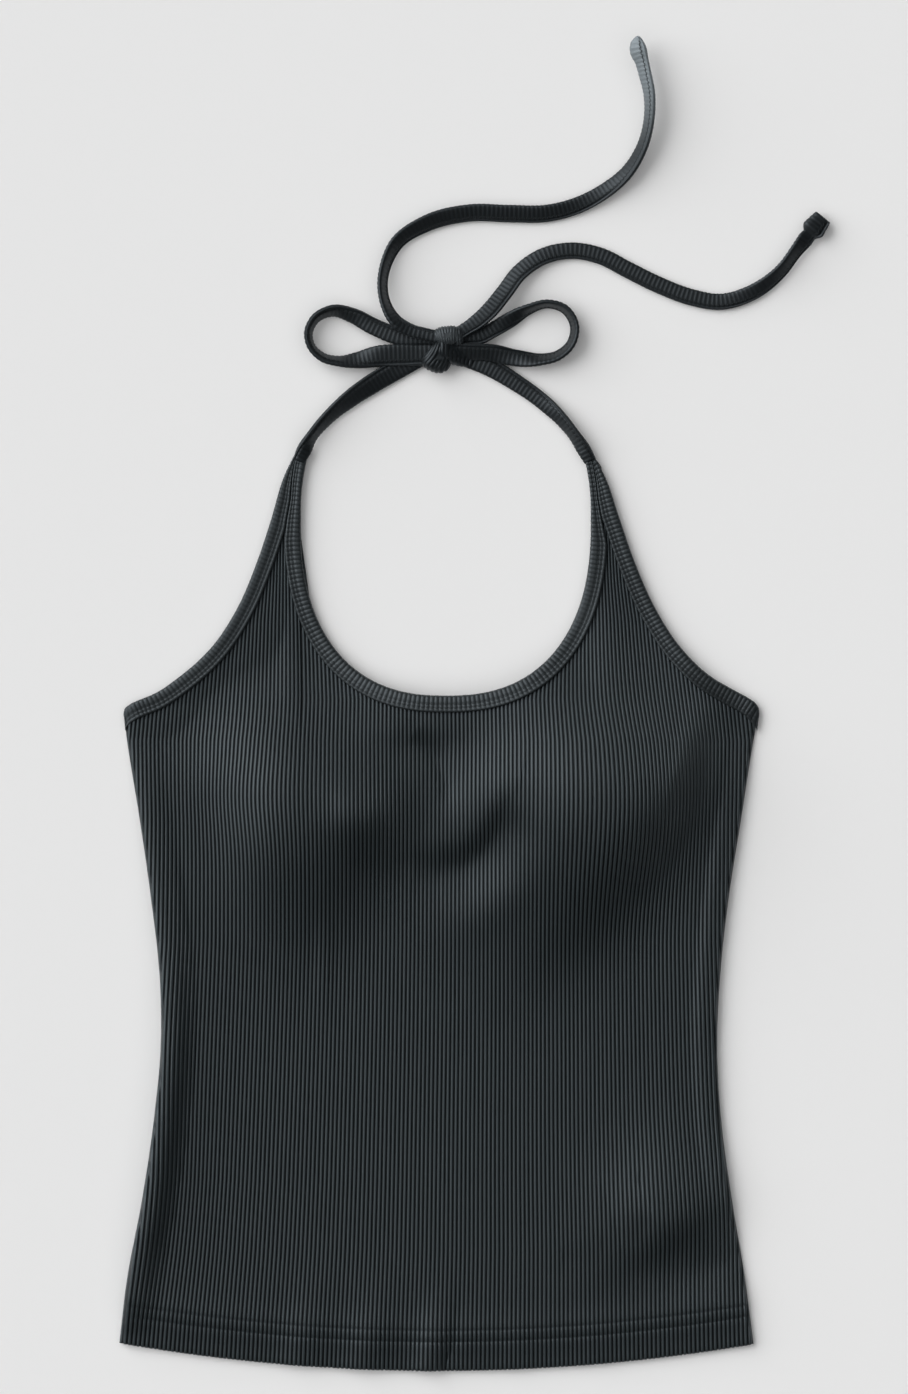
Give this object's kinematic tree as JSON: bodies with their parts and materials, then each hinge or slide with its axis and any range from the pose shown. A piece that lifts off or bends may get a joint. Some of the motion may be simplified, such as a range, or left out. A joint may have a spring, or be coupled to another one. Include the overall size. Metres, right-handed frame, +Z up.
{
  "type": "halter neck top",
  "caption": "Halter neck top in a rib knit, laid flat: bound scoop neckline and armholes, turned-up hem, and neck ties in a bow with loops and long free ends.",
  "frame": {"origin": "on the flat outer face of the back, on the centre line at the waist", "axes": "+X towards the right-hand side as seen from above, +Y from the hem up to the neck, +Z up out of the surface the top lies on"},
  "size_m": [0.4146, 0.779, 0.0305],
  "materials": {
    "body_knit": "matt slate grey rib knit, ribs running up the body",
    "binding_knit": "matt slate grey rib knit strip, ribs running across it, twin stitched",
    "tie_knit": "matt slate grey rib knit strip, folded and stitched shut, ribs running across it"
  },
  "bodies": {
    "root": {"front_panel": "body_knit", "back_panel": "body_knit", "neck_binding": "binding_knit", "armhole_binding_left": "binding_knit", "armhole_binding_right": "binding_knit", "back_binding": "binding_knit", "strap_left": "tie_knit", "strap_right": "tie_knit", "bow_loop_left": "tie_knit", "bow_loop_right": "tie_knit", "tail_left": "tie_knit", "tail_right": "tie_knit", "knot": "tie_knit"}
  },
  "joints": []
}
